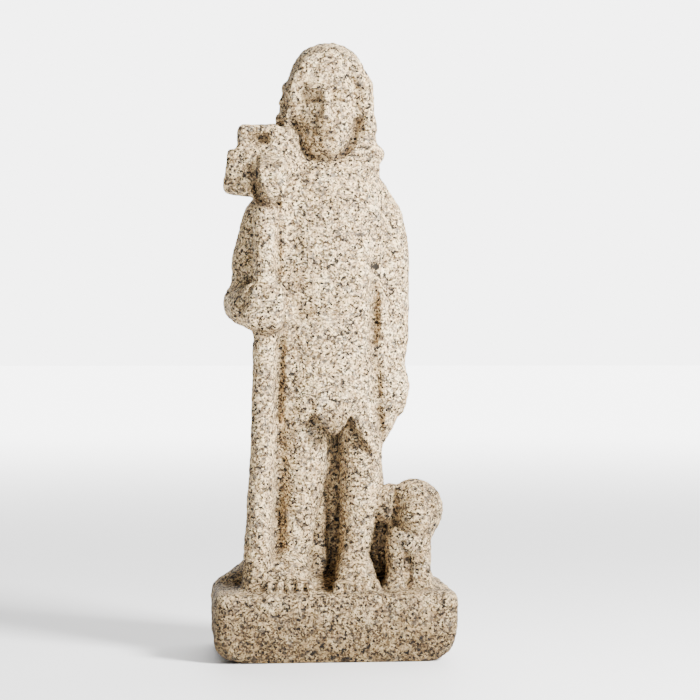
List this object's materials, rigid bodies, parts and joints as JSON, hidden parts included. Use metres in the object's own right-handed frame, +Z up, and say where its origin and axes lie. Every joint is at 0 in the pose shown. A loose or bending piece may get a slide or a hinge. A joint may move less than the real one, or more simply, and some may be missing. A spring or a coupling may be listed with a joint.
{
  "type": "saint statue",
  "caption": "Stone garden statue of a long-haired saint in a short ragged tunic, holding a cross staff, with a lamb at the left leg, all on a block base.",
  "frame": {"origin": "middle of the flat underside, at the centre of the bounding box", "axes": "+Z up, the saint faces -Y, +X towards the saint's left hand and the lamb"},
  "size_m": [0.3908, 0.2662, 0.999],
  "materials": {
    "granite": "weathered, point-dressed speckled granite, matt, brown in the hollows"
  },
  "bodies": {
    "root": {"saint_statue": "granite"}
  },
  "joints": []
}
